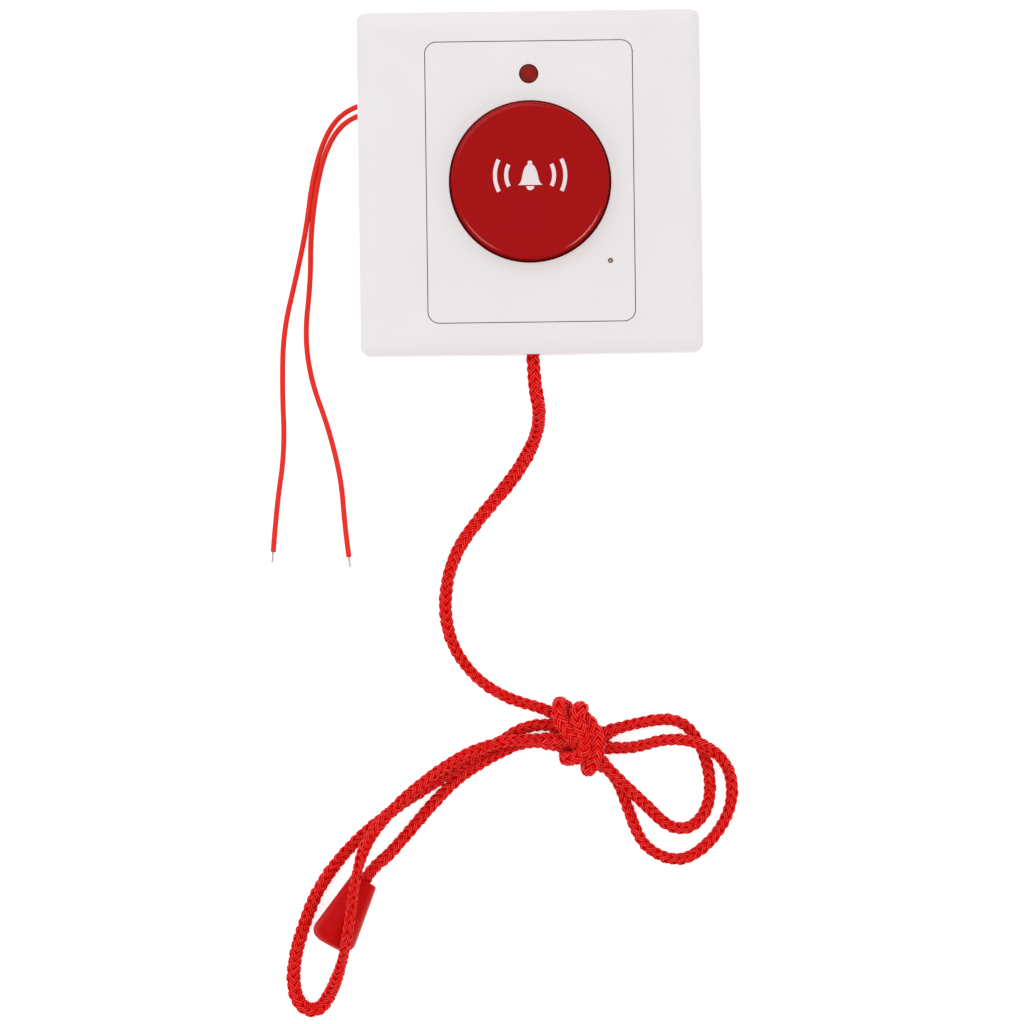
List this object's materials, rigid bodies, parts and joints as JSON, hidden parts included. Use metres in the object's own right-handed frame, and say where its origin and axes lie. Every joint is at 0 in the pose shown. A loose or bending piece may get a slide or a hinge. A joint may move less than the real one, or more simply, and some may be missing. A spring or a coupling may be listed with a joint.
{
  "type": "emergency call button",
  "caption": "Square wall plate with a large round red push button, an indicator lamp, a reset hole and a braided pull cord that ends in a cone-shaped grip.",
  "frame": {"origin": "on the table, under the middle of the housing's rear box, which is also the middle of the wall plate", "axes": "+Z is the front, out of the wall; +Y is up on the wall, and the cord leaves towards -Y; +X is to the right seen from the front"},
  "size_m": [0.1216, 0.2573, 0.032],
  "materials": {
    "cover_plastic": "moulded white ABS, fine satin",
    "panel_plastic": "moulded white ABS, fine satin",
    "housing_plastic": "moulded white ABS, plain",
    "button_plastic": "moulded red ABS, semi-gloss",
    "spring_steel": "drawn spring wire",
    "switch_plastic": "moulded black nylon",
    "stem_plastic": "moulded white acetal",
    "plunger_plastic": "moulded salmon-brown acetal",
    "board_laminate": "glass-epoxy laminate with green resist",
    "screw_steel": "zinc plated",
    "lamp_epoxy": "tinted clear epoxy",
    "tinned_metal": "tinned copper and solder",
    "resistor_coat": "dipped lacquer with colour bands",
    "cord_braid": "braided polyester",
    "grip_plastic": "moulded red polypropylene",
    "wire_insulation": "extruded PVC"
  },
  "bodies": {
    "root": {"front_frame": "cover_plastic", "back_housing": "housing_plastic", "face_panel": "panel_plastic", "button_spring": "spring_steel", "push_switch_body": "switch_plastic", "circuit_board": "board_laminate", "board_screws": "screw_steel", "lamp_lens": "lamp_epoxy", "lamp_leads": "tinned_metal", "lamp_spacer": "switch_plastic", "reset_switch_body": "switch_plastic", "lamp_resistor": "resistor_coat", "pull_switch_body": "switch_plastic", "lead_solder": "tinned_metal", "lead_wire_1": "wire_insulation", "lead_tip_1": "tinned_metal", "lead_wire_2": "wire_insulation", "lead_tip_2": "tinned_metal"},
    "button": {"button_cap": "button_plastic", "push_switch_stem": "stem_plastic"},
    "reset": {"reset_plunger": "plunger_plastic"},
    "pull": {"pull_slider": "stem_plastic", "pull_switch_stem": "stem_plastic", "anchor_knot": "cord_braid", "pull_cord": "cord_braid", "cord_loop_a": "cord_braid", "cord_loop_b": "cord_braid", "cord_far_loop": "cord_braid", "cord_to_grip": "cord_braid", "cord_knot": "cord_braid", "cord_grip": "grip_plastic", "grip_knot": "cord_braid"}
  },
  "joints": [
    {"name": "button_push", "type": "slide", "parent": "root", "child": "button", "axis": [0, 0, -1], "range_m": [0, 0.002], "stiffness_N_per_m": 800, "springref_m": -0.002, "deforming": ["button_spring"]},
    {"name": "reset_press", "type": "slide", "parent": "root", "child": "reset", "axis": [0, 0, -1], "range_m": [0, 0.00025], "stiffness_N_per_m": 2000},
    {"name": "cord_pull", "type": "slide", "parent": "root", "child": "pull", "axis": [0, -1, 0], "range_m": [0, 0.0025], "stiffness_N_per_m": 1200, "springref_m": -0.001}
  ]
}
